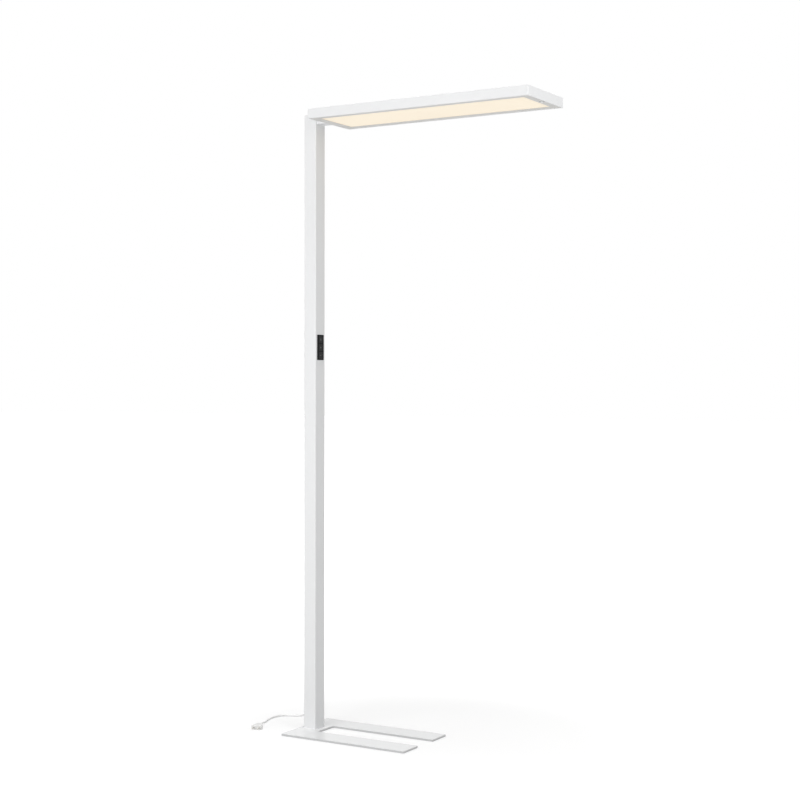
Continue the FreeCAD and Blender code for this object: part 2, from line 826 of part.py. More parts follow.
def mains_lead():
    """The cord inside the post, from the strain relief up to the terminal block."""
    inner_y = post_half_width - post_wall - collar_length - 0.1
    x = cord_exit.x
    top = V(sum(terminal_x) / 2, terminal_y[1] - 8, terminal_z[0])
    points = [
        V(x, inner_y, cord_exit_z),
        V(x, inner_y - 9, cord_exit_z),
        V(x + 3, inner_y - 16, cord_exit_z + 8),
        V(x + 10, top.y + 0.5, cord_exit_z + 17),
        V(top.x, top.y, terminal_z[0] - 8),
        top,
    ]
    return routed_tube(points, 2.8, "mains_lead")


power_lead_radius = 2.5
signal_lead_radius = 1.5


def power_lead():
    """The lead from the terminal block up the post, through the neck and on to the driver."""
    x = post_centre_x - 2.0
    y = -8.0
    bottom = V(x, y, terminal_z[1])
    bore_y = -2.2
    driver_end = V(driver_x[0], driver_y[0] + 8.0, spreader_top_z + 5.0)
    points = [
        bottom,
        V(x, y, neck_axis_z - 52),
        V(x, y + 2, neck_axis_z - 24),
        V(x + 4, y + 4, neck_axis_z - 5),
        V(post_front_x - 6, bore_y, neck_axis_z - 1.5),
        V(post_front_x + 20, bore_y, neck_axis_z - 1.5),
        V(head_back_x + 16, bore_y, neck_axis_z),
        V(head_back_x + 40, 12, neck_axis_z + 1.0),
        V(driver_end.x - 22, driver_end.y, driver_end.z),
        driver_end,
    ]
    return routed_tube(points, power_lead_radius, "power_lead")


def signal_lead():
    """The thin lead from the control board up the post and through the neck to the driver."""
    start = V(board_x, 3.0, control_centre_z + 20)
    bore_y = 2.8
    driver_end = V(driver_x[0], driver_y[0] + 20.0, spreader_top_z + 5.0)
    points = [
        start,
        V(board_x - 6, 3.0, control_centre_z + 20),
        V(board_x - 12, 4.5, control_centre_z + 32),
        V(board_x - 12, 5.0, neck_axis_z - 40),
        V(board_x - 9, 4.5, neck_axis_z - 18),
        V(board_x + 1, 3.0, neck_axis_z + 0.5),
        V(post_front_x + 14, bore_y, neck_axis_z + 2.5),
        V(head_back_x + 20, bore_y + 1.0, neck_axis_z + 3.0),
        V(head_back_x + 44, 26, neck_axis_z + 2.0),
        V(driver_end.x - 16, driver_end.y, driver_end.z),
        driver_end,
    ]
    return routed_tube(points, signal_lead_radius, "signal_lead")


def sensor_lead():
    """The thin lead from the driver along the head to the sensor's board."""
    lead_z = spreader_top_z + 2.0
    start = V(driver_x[1], driver_y[0] + 12.0, spreader_top_z + 5.0)
    board_top = V(sensor_x - 1.5, 3.0, sensor_board_top)
    points = [
        start,
        V(start.x + 20, start.y, start.z),
        V(start.x + 45, start.y - 14, lead_z),
        V(start.x + 160, 16, lead_z + 0.5),
        V(sensor_x - 90, 8, lead_z),
        V(sensor_x - 26, 4, lead_z + 0.5),
        V(sensor_x - 2, 3, lead_z - 0.3),
        board_top,
    ]
    return routed_tube(points, 1.0, "sensor_lead")


# ---------------------------------------------------------------- the free mains cord
cord_radius = cord_diameter / 2
cord_floor_z = cord_radius + 0.1
tie_thickness = 0.9
hank_low_z = tie_thickness + 0.1 + cord_radius
layer_step = 6.1
lane_step = 6.6
hank_run = 112.0
hank_end = 6.0  # straight length of the cord at each end of the hank
inner_lane = 15.15
waist_draw = 8.0
waist_radius = 52.0
hank_angle = math.radians(124.0)
hank_distance = 263.0  # from the middle of the post to the near end of the hank's runs
hank_along = V(math.cos(hank_angle), math.sin(hank_angle), 0)
hank_left = V(-math.sin(hank_angle), math.cos(hank_angle), 0)
hank_origin = V(post_centre_x, 0, 0) + hank_along * hank_distance
# distance of each of the eight runs from the hank's middle line: right, left, right ... in and out again
lanes = [inner_lane + lane_step / 2 * k for k in (4, 3, 2, 1, 0, 1, 2, 3)]


def hank_point(along, left, z):
    """A place given along and to the left of the hank's middle line."""
    return hank_origin + hank_along * along + hank_left * left + V(0, 0, z)


class Pen:
    """Draws a smooth path as straight lines and tangent arcs."""

    def __init__(self, start, heading):
        self.place = start
        self.heading = heading
        self.edges = []

    def forward(self, length):
        """Go straight on."""
        end = self.place + self.heading * length
        self.edges.append(Part.LineSegment(self.place, end).toShape())
        self.place = end

    def turn(self, radius, degrees, up):
        """Turn to the left about the axis called up; a negative angle turns to the right."""
        side = up.cross(self.heading) * math.copysign(1.0, degrees)
        centre = self.place + side * radius
        points = []
        for share in (0.5, 1.0):
            spin = FreeCAD.Rotation(up, degrees * share)
            points.append(centre + spin.multVec(self.place - centre))
        self.edges.append(Part.Arc(self.place, points[0], points[1]).toShape())
        self.place = points[1]
        self.heading = FreeCAD.Rotation(up, degrees).multVec(self.heading)


def hank_path():
    """Four loops in two layers, drawn in at the waist; the innermost run climbs between the layers."""
    up = V(0, 0, 1)
    bend = math.degrees(math.acos(1 - waist_draw / 2 / waist_radius))
    shift = 2 * waist_radius * math.sin(math.radians(bend))
    lead = 5.0
    waist = hank_run - 2 * shift - 2 * lead
    climb = 2 * math.degrees(math.atan(layer_step / waist))
    climb_radius = waist / 2 / math.sin(math.radians(climb))
    pen = Pen(hank_point(-hank_end, -lanes[0], hank_low_z), hank_along)
    pen.forward(hank_end)
    for k, lane in enumerate(lanes):
        # every run is entered with the middle of the hank on its left
        pen.forward(lead)
        pen.turn(waist_radius, bend, up)
        pen.turn(waist_radius, -bend, up)
        if k == 4:
            across = up.cross(pen.heading)
            pen.turn(climb_radius, -climb, across)
            pen.turn(climb_radius, climb, across)
        else:
            pen.forward(waist)
        pen.turn(waist_radius, -bend, up)
        pen.turn(waist_radius, bend, up)
        pen.forward(lead)
        if k < len(lanes) - 1:
            fold = (lane + lanes[k + 1]) / 2
            pen.turn(fold, 90, up)
            pen.turn(fold, 90, up)
    pen.forward(hank_end)
    return pen


def least_gap(wire, diameter):
    """The least distance between the surfaces of two stretches of a wound cord, on points 1.5 mm apart."""
    step = 1.5
    points = wire.discretize(Distance=step)
    apart = int(4 * diameter / step)
    least = 1e9
    for i, here in enumerate(points):
        for other in points[i + apart :]:
            least = min(least, here.distanceToPoint(other))
    return least - diameter


def cord_hank(pen):
    """The put-away length of the cord, as one unbroken tube."""
    wire = Part.Wire(pen.edges)
    start = hank_point(-hank_end, -lanes[0], hank_low_z)
    shape = tube(wire, start, hank_along, cord_radius, "cord_hank")
    print("cord_hank least gap to itself %.2f mm" % least_gap(wire, cord_diameter))
    return shape


def cord_to_hank_points():
    """From the strain relief, over the back of the foot and down to the floor behind the post."""
    tip = cord_exit + V(0, relief_flange + relief_length, 0)
    lane = -lanes[0]
    return [
        tip,
        tip + V(0, 12.0, 0),
        tip + V(-3.4, 24.2, -2.4),
        hank_point(-174.0, lane - 0.4, 24.0),
        hank_point(-149.0, lane + 0.3, 17.2),
        hank_point(-120.0, lane + 1.2, 8.8),
        hank_point(-92.0, lane + 0.9, hank_low_z + 0.5),
        hank_point(-64.0, lane + 0.3, hank_low_z + 0.1),
        hank_point(-35.0, lane, hank_low_z),
        hank_point(-hank_end, lane, hank_low_z),
    ]


def cord_to_plug_points(start, heading):
    """From the hank round behind the lamp and down to the floor, then forward to the plug."""
    points = [start]
    # even steps bring the cord down to the floor and round to the right: how far it drops, then how it turns
    height = start.z
    step = 14.8
    moves = [(0.0, 3.0), (2.3, -5.0), (2.6, -23.0), (1.6, -24.5), (0.5, -24.5), (0.0, -24.5), (0.0, 0.0)]
    for drop, turn in moves:
        height -= drop
        place = points[-1] + heading * step
        points.append(V(place.x, place.y, height))
        heading = FreeCAD.Rotation(V(0, 0, 1), turn).multVec(heading)
    # from there it lies on the floor; x is counted from the back of the post
    floor = [
        (-158.3, 113.0),
        (-171.4, 104.2),
        (-180.2, 89.4),
        (-183.6, 68.2),
        (-181.0, 40.6),
        (-172.8, 13.6),
        (-163.6, -11.0),
    ]
    points += [V(post_back_x + x, y, cord_floor_z) for x, y in floor]
    straight_into_plug = 18.0
    return points + [plug_point(-straight_into_plug, 0, 0), plug_back]


plug_centre_z = 6.9
plug_body_length = 36.0
plug_relief_length = 18.0
plug_width = 36.0
plug_height = 13.7
pin_radius = 2.0
pin_length = 19.0
pin_spacing = 18.6
plug_angle = math.radians(290.0)
plug_along = V(math.cos(plug_angle), math.sin(plug_angle), 0)
plug_left = V(-math.sin(plug_angle), math.cos(plug_angle), 0)
plug_back = V(post_back_x - 149.5, -50.0, plug_centre_z)


def plug_point(along, left, z):
    """A place given along and to the left of the plug's middle line, from where the cord enters it."""
    return plug_back + plug_along * along + plug_left * left + V(0, 0, z)


def plug_body():
    """A flat two-pin plug that lies on the floor: a tapered tail, then a body that widens to its face."""
    tail = Part.makeCone(3.7, 5.2, plug_relief_length, plug_back, plug_along)
    half = plug_width / 2
    outline = [
        (plug_relief_length - 4, -7.5),
        (plug_relief_length + 8, -11.0),
        (plug_relief_length + 20, -half + 1.5),
        (plug_relief_length + plug_body_length, -half),
    ]
    outline += [(along, -left) for along, left in reversed(outline)]
    points = [plug_point(along, left, -plug_height / 2) for along, left in outline]
    body = Part.Face(Part.makePolygon(points + points[:1])).extrude(V(0, 0, plug_height))
    uprights = [e for e in body.Edges if abs(e.tangentAt(e.FirstParameter).z) > 0.99]
    body = body.makeFillet(3.0, uprights)
    top, bottom = plug_centre_z + plug_height / 2, plug_centre_z - plug_height / 2
    body = body.makeFillet(2.2, flat_edges(body, top) + flat_edges(body, bottom))
    return body.fuse(tail).removeSplitter()


def plug_pins():
    """The two round pins of the plug."""
    pins = []
    for side in (-1, 1):
        start = plug_point(plug_relief_length + plug_body_length, side * pin_spacing / 2, 0)
        pin = rod(start, plug_along, pin_radius, pin_length)
        ends = [e for e in pin.Edges if (e.CenterOfMass - start).Length > pin_length - 0.5 and e.Closed]
        pins.append(pin.makeFillet(0.8, ends))
    return Part.makeCompound(pins)


def hank_tie():
    """The flat tie round the waist of the hank."""
    width = 14.0
    gap = 0.25
    middle = hank_run / 2
    left_edge = max(lanes[1::2]) - waist_draw + cord_radius + gap
    right_edge = -(max(lanes[0::2]) - waist_draw + cord_radius + gap)
    top = hank_low_z + layer_step + cord_radius + gap

    def loop(grow, low, high, radius):
        corners = [
            (right_edge - grow, low, radius),
            (left_edge + grow, low, radius),
            (left_edge + grow, high, radius),
            (right_edge - grow, high, radius),
        ]
        face = Part.Face(rounded_outline(corners, 0))
        place = FreeCAD.Placement(
            hank_point(middle - width / 2, 0, 0), FreeCAD.Rotation(hank_left, V(0, 0, 1), hank_along, "XYZ")
        )
        face.Placement = place
        return face.extrude(hank_along * width)

    outside = loop(tie_thickness, 0.0, top + tie_thickness, 3.4)
    inside = loop(0.0, tie_thickness, top, 2.5)
    return outside.cut(inside)


# ---------------------------------------------------------------- write every sub-part
def main():
    os.makedirs("parts", exist_ok=True)
    write("base_plate", base_plate())
    write("base_pads", base_pads())
    write("foot_block", foot_block())
    write("base_screws", base_screws())
    write("grub_screws", grub_screws())
    write("post_profile", post_profile())
    write("post_top_cap", post_top_cap())
    write("neck_bracket", neck_bracket())
    write("neck_nut_plate", neck_nut_plate())
    write("head_end_plate", head_end_plate())
    write("neck_bolts", neck_bolts())
    write("head_frame", head_frame())
    write("head_top_cover", head_top_cover())
    write("cover_screws", cover_screws())
    write("diffuser_frame", diffuser_frame())
    write("diffuser_panel", diffuser_panel())
    write("light_guide", light_guide())
    write("reflector_sheet", reflector_sheet())
    write("led_strip_near", led_strip(-1))
    write("led_strip_far", led_strip(1))
    write("heat_spreader", heat_spreader())
    write("panel_clips", panel_clips())
    write("led_driver", led_driver())
    write("driver_screws", driver_screws())
    write("sensor_body", sensor_body())
    write("sensor_lens", sensor_lens())
    write("control_bezel", control_bezel())
    low, middle, high = key_centres()
    write("key_dimmer", key(low))
    write("key_brighter", key(middle))
    write("key_power", key(high))
    write("control_board", control_board())
    write("key_switches", key_switches())
    write("control_screws", control_screws())
    write("strain_relief", strain_relief())
    write("terminal_block", terminal_block())
    write("mains_lead", mains_lead())
    write("power_lead", power_lead())
    write("signal_lead", signal_lead())
    write("sensor_lead", sensor_lead())
    pen = hank_path()
    write("cord_to_hank", routed_tube(cord_to_hank_points(), cord_radius, "cord_to_hank"))
    write("cord_hank", cord_hank(pen))
    to_plug = cord_to_plug_points(pen.place, pen.heading)
    write("cord_to_plug", routed_tube(to_plug, cord_radius, "cord_to_plug"))
    write("hank_tie", hank_tie())
    write("plug_body", plug_body())
    write("plug_pins", plug_pins())


main()
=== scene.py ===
import json
import math

import bmesh
import bpy
from mathutils import Matrix, Vector


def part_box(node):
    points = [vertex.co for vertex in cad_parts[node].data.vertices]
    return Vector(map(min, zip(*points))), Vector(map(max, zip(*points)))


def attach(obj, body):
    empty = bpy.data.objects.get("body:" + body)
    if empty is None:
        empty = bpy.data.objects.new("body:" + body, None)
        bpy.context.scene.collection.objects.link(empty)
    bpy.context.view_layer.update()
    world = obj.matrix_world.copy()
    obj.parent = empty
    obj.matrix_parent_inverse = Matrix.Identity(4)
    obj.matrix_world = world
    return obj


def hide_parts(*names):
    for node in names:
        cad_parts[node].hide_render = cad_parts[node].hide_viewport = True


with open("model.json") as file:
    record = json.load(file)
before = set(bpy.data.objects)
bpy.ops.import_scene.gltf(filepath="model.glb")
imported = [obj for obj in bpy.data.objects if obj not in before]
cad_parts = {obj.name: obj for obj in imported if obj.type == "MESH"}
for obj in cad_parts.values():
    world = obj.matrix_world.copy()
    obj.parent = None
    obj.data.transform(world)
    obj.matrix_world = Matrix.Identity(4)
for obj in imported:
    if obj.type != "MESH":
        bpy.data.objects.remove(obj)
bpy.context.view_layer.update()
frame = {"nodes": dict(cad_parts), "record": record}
MM = 0.001

# ---------------------------------------------------------------- colours, as the photograph shows them
POWDER_WHITE = (0.83, 0.835, 0.84, 1)
FOOT_WHITE = (0.83, 0.835, 0.84, 1)
PLASTIC_WHITE = (0.80, 0.80, 0.79, 1)
CORD_WHITE = (0.93, 0.93, 0.925, 1)
TRIM_WHITE = (0.75, 0.74, 0.715, 1)
SENSOR_GREY = (0.42, 0.42, 0.43, 1)
BEZEL_BLACK = (0.005, 0.005, 0.006, 1)
KEY_BLACK = (0.023, 0.023, 0.024, 1)
MARK_GREY = (0.165, 0.165, 0.17, 1)
PAD_BLACK = (0.03, 0.03, 0.03, 1)
OPAL = (0.59, 0.575, 0.54, 1)
LAMP_LIGHT = (1.0, 0.78, 0.455, 1)

# colours of what the photograph shows too small to measure, or not at all
MILKY_WHITE = (0.86, 0.86, 0.85, 1)
CLEAR_ACRYLIC = (0.93, 0.97, 0.97, 1)
FILM_WHITE = (0.88, 0.88, 0.88, 1)
BOARD_WHITE = (0.75, 0.75, 0.72, 1)
CHIP_YELLOW = (0.85, 0.62, 0.08, 1)
BOARD_GREEN = (0.02, 0.12, 0.05, 1)
DRIVER_WHITE = (0.72, 0.72, 0.70, 1)
LEAD_GREY = (0.35, 0.35, 0.36, 1)
STRAP_BLACK = (0.06, 0.06, 0.065, 1)
ALUMINIUM = (0.72, 0.72, 0.74, 1)
ZINC = (0.55, 0.56, 0.58, 1)
NICKEL = (0.66, 0.64, 0.60, 1)

# ---------------------------------------------------------------- settings of the finishes
CLOUD_SIZE = 7.0  # how many slow changes of tone there are along a metre
EDGE_PAINTED_SHADE = 0.28  # painted shade: the share by which the foot's edges are coloured darker than its top, standing in for the shade they lie in
EDGE_DEPTH = 0.3 * MM  # how far under the foot's top its edge begins
GLOW_STRENGTH = 0.435  # of the lit panel
EDGE_GLOW = 0.05  # how much brighter the lit panel is along its two fed edges
GLOW_CLOUDS = 0.06  # how uneven the glow is
CHIP_SETBACK = 1.05 * MM  # how far the LED chips stand inside the boards' backs
LINES_ALONG_Z = (900.0, 900.0, 30.0)  # how fine the drawn lines of metal are along x, y and z
LINES_ALONG_X = (30.0, 900.0, 900.0)


# ---------------------------------------------------------------- small helpers for node trees and objects
def feed(tree, socket, value):
    """Put a number on a socket, or link another socket to it."""
    if isinstance(value, bpy.types.NodeSocket):
        tree.links.new(value, socket)
    else:
        socket.default_value = value


def calc(tree, a, operation, b=0.0, c=0.0):
    """One step of arithmetic on numbers or sockets."""
    node = tree.nodes.new("ShaderNodeMath")
    node.operation = operation
    for socket, value in zip(node.inputs, (a, b, c)):
        feed(tree, socket, value)
    return node.outputs[0]


def noise(tree, where, scale, detail=2.0, roughness=0.5):
    """A noise texture at a place; the scale is a number or a socket."""
    node = tree.nodes.new("ShaderNodeTexNoise")
    node.inputs["Detail"].default_value = detail
    node.inputs["Roughness"].default_value = roughness
    tree.links.new(where, node.inputs["Vector"])
    feed(tree, node.inputs["Scale"], scale)
    return node.outputs["Fac"]


def shade(tree, colour, amount):
    """A colour made darker by an amount from 0 to 1."""
    node = tree.nodes.new("ShaderNodeMix")
    node.data_type = "RGBA"
    node.blend_type = "MULTIPLY"
    node.inputs["Factor"].default_value = 1.0
    grey = tree.nodes.new("ShaderNodeCombineColor")
    left = calc(tree, 1.0, "SUBTRACT", amount)
    for socket in grey.inputs:
        tree.links.new(left, socket)
    feed(tree, node.inputs["A"], colour)
    tree.links.new(grey.outputs[0], node.inputs["B"])
    return node.outputs["Result"]


def own_place(tree):
    """Where a point is in its piece's own coordinates, in metres."""
    return tree.nodes.new("ShaderNodeTexCoord").outputs["Object"]


def own_axis(tree, axis):
    """How far along one of its piece's own axes a point is, in metres."""
    split = tree.nodes.new("ShaderNodeSeparateXYZ")
    tree.links.new(own_place(tree), split.inputs[0])
    return split.outputs[axis]


def add_object(name, data):
    """A new object in the scene."""
    thing = bpy.data.objects.new(name, data)
    bpy.context.scene.collection.objects.link(thing)
    return thing


# ---------------------------------------------------------------- shared textures
def texture_group(name, inputs):
    """An empty texture group with the inputs asked for; it gives a colour, a roughness and a height."""
    group = bpy.data.node_groups.new(name, "ShaderNodeTree")
    kinds = {4: "NodeSocketColor", 3: "NodeSocketVector"}
    for label, value in inputs.items():
        size = len(value) if hasattr(value, "__len__") else 1
        kind = kinds.get(size, "NodeSocketFloat")
        socket = group.interface.new_socket(name=label, in_out="INPUT", socket_type=kind)
        socket.default_value = value
    outputs = {"Colour": "NodeSocketColor", "Roughness": "NodeSocketFloat", "Height": "NodeSocketFloat"}
    for label, kind in outputs.items():
        group.interface.new_socket(name=label, in_out="OUTPUT", socket_type=kind)
    return group, group.nodes.new("NodeGroupInput"), group.nodes.new("NodeGroupOutput")


def grained_finish():
    """Fine even grain over slow, slight changes of tone and gloss: powder coat, paint and moulded plastic."""
    group, given, made = texture_group("grained finish", {
        "Colour": POWDER_WHITE,
        "Grain size": 900.0,
        "Tone change": 0.03,
        "Base roughness": 0.4,
        "Roughness change": 0.1,
    })
    place = own_place(group)
    grain = noise(group, place, given.outputs["Grain size"], detail=3.0, roughness=0.6)
    clouds = noise(group, place, CLOUD_SIZE, detail=4.0)
    uneven = calc(group, clouds, "ADD", calc(group, grain, "MULTIPLY", 0.5))
    change = calc(group, uneven, "MULTIPLY", given.outputs["Tone change"])
    group.links.new(shade(group, given.outputs["Colour"], change), made.inputs["Colour"])
    swing = calc(group, calc(group, clouds, "SUBTRACT", 0.5), "MULTIPLY", given.outputs["Roughness change"])
    group.links.new(calc(group, given.outputs["Base roughness"], "ADD", swing), made.inputs["Roughness"])
    group.links.new(grain, made.inputs["Height"])
    return group


def drawn_metal():
    """Fine lines drawn out along one direction: rolled, turned and plated metal."""
    group, given, made = texture_group("drawn metal", {
        "Colour": (0.6, 0.6, 0.62, 1),
        "Lines": (900.0, 60.0, 900.0),
        "Tone change": 0.15,
        "Base roughness": 0.3,
    })
    stretch = group.nodes.new("ShaderNodeVectorMath")
    stretch.operation = "MULTIPLY"
    group.links.new(own_place(group), stretch.inputs[0])
    group.links.new(given.outputs["Lines"], stretch.inputs[1])
    lines = noise(group, stretch.outputs[0], 1.0, detail=4.0, roughness=0.7)
    change = calc(group, lines, "MULTIPLY", given.outputs["Tone change"])
    group.links.new(shade(group, given.outputs["Colour"], change), made.inputs["Colour"])
    roughness = calc(group, lines, "MULTIPLY_ADD", 0.15, given.outputs["Base roughness"])
    group.links.new(roughness, made.inputs["Roughness"])
    group.links.new(lines, made.inputs["Height"])
    return group


def woven_strap():
    """Crossed threads, for the tie."""
    group, given, made = texture_group("woven strap", {"Colour": PAD_BLACK, "Threads": 1400.0})
    place = own_place(group)
    waves = []
    for direction in ("DIAGONAL", "Z"):
        wave = group.nodes.new("ShaderNodeTexWave")
        wave.bands_direction = direction
        group.links.new(place, wave.inputs["Vector"])
        group.links.new(given.outputs["Threads"], wave.inputs["Scale"])
        waves.append(wave.outputs["Fac"])
    threads = calc(group, waves[0], "MULTIPLY", waves[1])
    gaps = calc(group, calc(group, 1.0, "SUBTRACT", threads), "MULTIPLY", 0.5)
    group.links.new(shade(group, given.outputs["Colour"], gaps), made.inputs["Colour"])
    group.links.new(calc(group, gaps, "ADD", 0.5), made.inputs["Roughness"])
    group.links.new(threads, made.inputs["Height"])
    return group


GRAINED = grained_finish()
METAL = drawn_metal()
WOVEN = woven_strap()


# ---------------------------------------------------------------- finishes
def finish(name, texture, values, relief_mm, **shader_values):
    """A material made of one of the shared textures; relief_mm is how deep its grain is."""
    material = bpy.data.materials.new(name)
    material.use_nodes = True
    tree = material.node_tree
    shader = tree.nodes["Principled BSDF"]
    pattern = tree.nodes.new("ShaderNodeGroup")
    pattern.node_tree = texture
    for label, value in values.items():
        pattern.inputs[label].default_value = value
    relief = tree.nodes.new("ShaderNodeBump")
    relief.inputs["Distance"].default_value = relief_mm * MM
    tree.links.new(pattern.outputs["Height"], relief.inputs["Height"])
    tree.links.new(relief.outputs["Normal"], shader.inputs["Normal"])
    tree.links.new(pattern.outputs["Colour"], shader.inputs["Base Color"])
    tree.links.new(pattern.outputs["Roughness"], shader.inputs["Roughness"])
    for label, value in shader_values.items():
        shader.inputs[label.replace("_", " ")].default_value = value
    return material


def grained(name, colour, grain, roughness, relief_mm, tone=0.03, roughness_change=0.08, **shader_values):
    """A painted, moulded or rubber finish; grain is how fine it is and relief_mm how deep."""
    values = {
        "Colour": colour,
        "Grain size": grain,
        "Tone change": tone,
        "Base roughness": roughness,
        "Roughness change": roughness_change,
    }
    return finish(name, GRAINED, values, relief_mm, **shader_values)


def metal(name, colour, lines, roughness, relief_mm=0.004):
    """A bare or plated metal finish; lines is how fine they are along x, y and z."""
    values = {"Colour": colour, "Lines": lines, "Base roughness": roughness}
    return finish(name, METAL, values, relief_mm, Metallic=1.0)


def parts_of(material):
    """The node tree of a material, its shader and its texture."""
    tree = material.node_tree
    pattern = next(node for node in tree.nodes if node.type == "GROUP")
    return tree, tree.nodes["Principled BSDF"], pattern


def opal_panel():
    """The lit opal sheet: satin acrylic that glows warm white, a little stronger along its two fed edges."""
    material = grained("lit opal acrylic", OPAL, 1500.0, 0.35, 0.004, tone=0.02, Specular_IOR_Level=0.3)
    tree, shader, _ = parts_of(material)
    low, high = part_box("diffuser_panel")
    half_width = (high[1] - low[1]) / 2
    across = calc(tree, calc(tree, own_axis(tree, "Y"), "MULTIPLY", 1 / half_width), "ABSOLUTE")
    edge = calc(tree, calc(tree, across, "POWER", 6.0), "MULTIPLY", EDGE_GLOW)
    clouds = calc(tree, noise(tree, own_place(tree), 5.0), "MULTIPLY", GLOW_CLOUDS)
    strength = calc(tree, calc(tree, 1.0 - EDGE_GLOW, "ADD", edge), "SUBTRACT", clouds)
    glow = shade(tree, LAMP_LIGHT, calc(tree, 1.0, "SUBTRACT", strength))
    tree.links.new(glow, shader.inputs["Emission Color"])
    shader.inputs["Emission Strength"].default_value = GLOW_STRENGTH
    return material


def foot_paint():
    """The foot's smooth paint, with painted shade on the plate's edges and underside: these are coloured
    darker than its top.
    """
    material = grained(
        "smooth white foot paint", FOOT_WHITE, 450.0, 0.26, 0.004, roughness_change=0.05, Coat_Weight=0.25
    )
    tree, shader, pattern = parts_of(material)
    _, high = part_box("base_plate")
    # painted shade: everything below the top of the plate is coloured darker, in place of the shade on its
    # sides
    on_edge = calc(tree, own_axis(tree, "Z"), "LESS_THAN", high[2] - EDGE_DEPTH)
    painted_edge_shade = calc(tree, on_edge, "MULTIPLY", EDGE_PAINTED_SHADE)
    tree.links.new(shade(tree, pattern.outputs["Colour"], painted_edge_shade), shader.inputs["Base Color"])
    return material


def ribbed_lens():
    """The sensor's milky lens, moulded in small facets."""
    material = grained("milky lens", MILKY_WHITE, 1200.0, 0.18, 0.002, Coat_Weight=0.5)
    tree, shader, _ = parts_of(material)
    cells = tree.nodes.new("ShaderNodeTexVoronoi")
    cells.inputs["Scale"].default_value = 520.0
    tree.links.new(own_place(tree), cells.inputs["Vector"])
    facets = tree.nodes.new("ShaderNodeBump")
    facets.inputs["Distance"].default_value = 0.25 * MM
    tree.links.new(cells.outputs["Distance"], facets.inputs["Height"])
    tree.links.new(facets.outputs["Normal"], shader.inputs["Normal"])
    return material


def led_board():
    """The LED boards: white lacquer, with the chips, which stand inside the boards, yellow."""
    material = grained("led board", BOARD_WHITE, 800.0, 0.45, 0.004)
    tree, shader, pattern = parts_of(material)
    _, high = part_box("led_strip_far")
    from_middle = calc(tree, own_axis(tree, "Y"), "ABSOLUTE")
    is_chip = calc(tree, from_middle, "LESS_THAN", high[1] - CHIP_SETBACK)
    pick = tree.nodes.new("ShaderNodeMix")
    pick.data_type = "RGBA"
    pick.inputs["B"].default_value = CHIP_YELLOW
    tree.links.new(is_chip, pick.inputs["Factor"])
    tree.links.new(pattern.outputs["Colour"], pick.inputs["A"])
    tree.links.new(pick.outputs["Result"], shader.inputs["Base Color"])
    return material


def circuit_board():
    """Green lacquer over copper tracks, which show as darker lines."""
    material = grained("green circuit board", BOARD_GREEN, 700.0, 0.3, 0.003)
    tree, shader, pattern = parts_of(material)
    tracks = tree.nodes.new("ShaderNodeTexBrick")
    tracks.inputs["Scale"].default_value = 260.0
    tracks.inputs["Mortar Size"].default_value = 0.06
    turn = tree.nodes.new("ShaderNodeMapping")
    turn.inputs["Rotation"].default_value = (0.0, math.pi / 2, 0.0)
    tree.links.new(own_place(tree), turn.inputs["Vector"])
    tree.links.new(turn.outputs["Vector"], tracks.inputs["Vector"])
    lines = calc(tree, tracks.outputs["Fac"], "MULTIPLY", 0.45)
    tree.links.new(shade(tree, pattern.outputs["Colour"], lines), shader.inputs["Base Color"])
    return material


def clear_plate():
    """The clear acrylic light guide, with a very fine grain in place of its printed dots."""
    material = grained("clear acrylic", CLEAR_ACRYLIC, 2500.0, 0.08, 0.002, tone=0.01)
    _, shader, _ = parts_of(material)
    shader.inputs["Transmission Weight"].default_value = 0.9
    shader.inputs["IOR"].default_value = 1.49
    return material


def lamp_finishes():
    """Every finish of the lamp, by the name of its slot in the record."""
    return {
        "white_powder_coat": grained("white powder coat", POWDER_WHITE, 850.0, 0.42, 0.012),
        "white_base_paint": foot_paint(),
        "bare_aluminium": metal("bare aluminium", ALUMINIUM, LINES_ALONG_X, 0.32),
        "zinc_steel": metal("zinc plated steel", ZINC, LINES_ALONG_Z, 0.28),
        "white_screws": grained("painted screw heads", POWDER_WHITE, 1500.0, 0.35, 0.004),
        "white_plastic": grained("moulded white plastic", PLASTIC_WHITE, 1300.0, 0.45, 0.012),
        "white_plastic_plug": grained("white plug plastic", PLASTIC_WHITE, 1100.0, 0.38, 0.015),
        "white_trim": grained("matt white trim", TRIM_WHITE, 1100.0, 0.55, 0.012),
        "grey_plastic": grained("grey sensor ring", SENSOR_GREY, 1300.0, 0.4, 0.008),
        "lens_plastic": ribbed_lens(),
        "opal_diffuser": opal_panel(),
        "clear_acrylic": clear_plate(),
        "white_film": grained("white reflecting film", FILM_WHITE, 900.0, 0.6, 0.004),
        "led_board": led_board(),
        "driver_case": grained("driver case plastic", DRIVER_WHITE, 900.0, 0.5, 0.02),
        "green_board": circuit_board(),
        "black_plastic": grained(
            "black bezel plastic", BEZEL_BLACK, 1600.0, 0.5, 0.01, tone=0.2, Specular_IOR_Level=0.06
        ),
        "key_plastic": grained(
            "satin black keys", KEY_BLACK, 1500.0, 0.5, 0.012, tone=0.15, Specular_IOR_Level=0.12
        ),
        "pad_rubber": grained("dark pad rubber", PAD_BLACK, 900.0, 0.8, 0.05, tone=0.3),
        "white_rubber": grained("white strain relief", PLASTIC_WHITE, 900.0, 0.55, 0.01),
        "white_cord": grained("white cord sheath", CORD_WHITE, 500.0, 0.42, 0.02, Sheen_Weight=0.05),
        "grey_lead": grained("grey lead sheath", LEAD_GREY, 700.0, 0.5, 0.02),
        "tie_plastic": finish("woven tie", WOVEN, {"Colour": STRAP_BLACK}, 0.15),
        "nickel_pins": metal("nickel plated pins", NICKEL, LINES_ALONG_X, 0.18),
    }


FINISHES = lamp_finishes()
MARK_PAINT = grained("light key mark", MARK_GREY, 1500.0, 0.5, 0.004)


